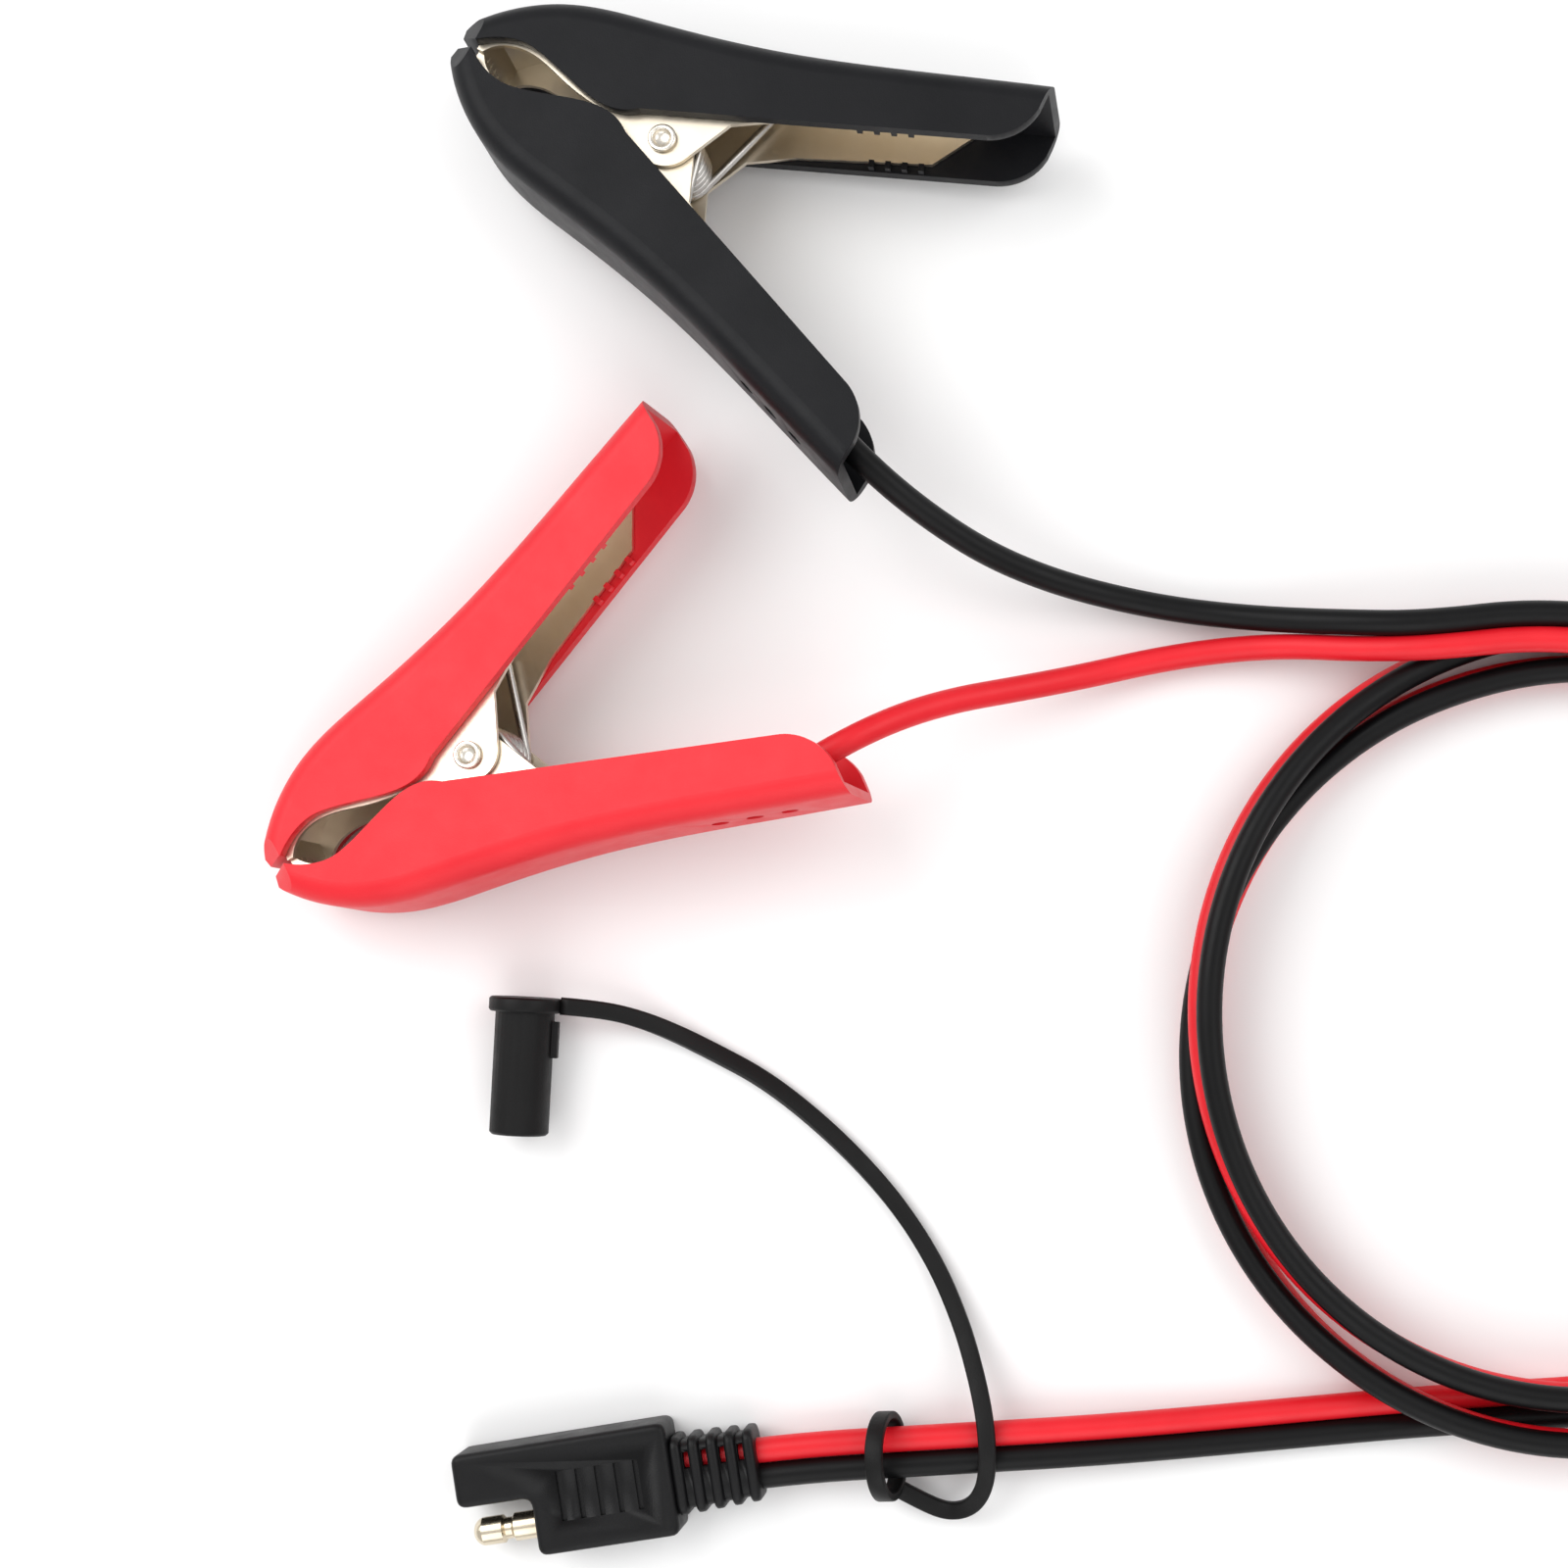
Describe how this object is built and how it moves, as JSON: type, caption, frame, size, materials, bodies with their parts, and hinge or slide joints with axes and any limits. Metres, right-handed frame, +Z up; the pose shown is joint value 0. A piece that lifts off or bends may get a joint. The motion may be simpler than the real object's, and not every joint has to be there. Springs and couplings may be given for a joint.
{
  "type": "alligator clip lead",
  "caption": "Insulated red and black alligator clips on a coiled two-wire lead, ending in a moulded pin-and-socket plug with a strain relief and a tethered dust cap.",
  "frame": {"origin": "on the table, under the middle of the clips, plug and dust cap taken together (the wires left out)", "axes": "+Z up from the table; +Y from the plug towards the black clip; +X from the clips towards the coil"},
  "size_m": [0.2559, 0.226, 0.029],
  "materials": {
    "black_cover": "satin moulded vinyl, black",
    "red_cover": "satin moulded vinyl, red",
    "jaw_plate": "nickel-plated pressed steel sheet",
    "rivet": "nickel-plated, rolled heads",
    "spring_wire": "bright spring wire",
    "contact": "turned brass, nickel-washed",
    "strands": "bare copper strands",
    "plug_rubber": "moulded vinyl, black",
    "cap_rubber": "soft moulded rubber, black",
    "black_wire": "wire insulation, black",
    "red_wire": "wire insulation, red",
    "coil": "the coiled wire pair, mostly black from above"
  },
  "bodies": {
    "lead": {"black_clip_strands": "strands", "black_lower_cover": "black_cover", "black_lower_jaw": "jaw_plate", "black_plug_strands": "strands", "black_rivet": "rivet", "black_spring": "spring_wire", "black_wire_clip_end": "black_wire", "black_wire_plug_end": "black_wire", "cable_coil": "coil", "plug_housing": "plug_rubber", "plug_pin": "contact", "plug_socket": "contact", "red_clip_strands": "strands", "red_lower_cover": "red_cover", "red_lower_jaw": "jaw_plate", "red_plug_strands": "strands", "red_rivet": "rivet", "red_spring": "spring_wire", "red_wire_clip_end": "red_wire", "red_wire_plug_end": "red_wire", "strain_relief": "plug_rubber"},
    "black_upper_half": {"black_upper_cover": "black_cover", "black_upper_jaw": "jaw_plate"},
    "red_upper_half": {"red_upper_cover": "red_cover", "red_upper_jaw": "jaw_plate"},
    "tethered_cap": {"dust_cap": "cap_rubber", "cap_strap": "cap_rubber", "cap_ring": "cap_rubber"}
  },
  "joints": [
    {"name": "black_jaw_hinge", "type": "hinge", "parent": "lead", "child": "black_upper_half", "pos_m": [0.0003, 0.0909, 0.01235], "axis": [0.0368, -0.1557, -0.9871], "range_deg": [0, 36], "stiffness_Nm_per_rad": 0.65, "springref_deg": -44.12, "deforming": ["black_spring"]},
    {"name": "red_jaw_hinge", "type": "hinge", "parent": "lead", "child": "red_upper_half", "pos_m": [-0.0268, 0.0034, 0.01235], "axis": [0.1499, -0.056, -0.9871], "range_deg": [0, 36], "stiffness_Nm_per_rad": 0.65, "springref_deg": -44.12, "deforming": ["red_spring"]},
    {"name": "cap_ring_slide", "type": "slide", "parent": "lead", "child": "tethered_cap", "axis": [0.9981, 0.0611, 0], "range_m": [-0.015, 0.015]}
  ]
}
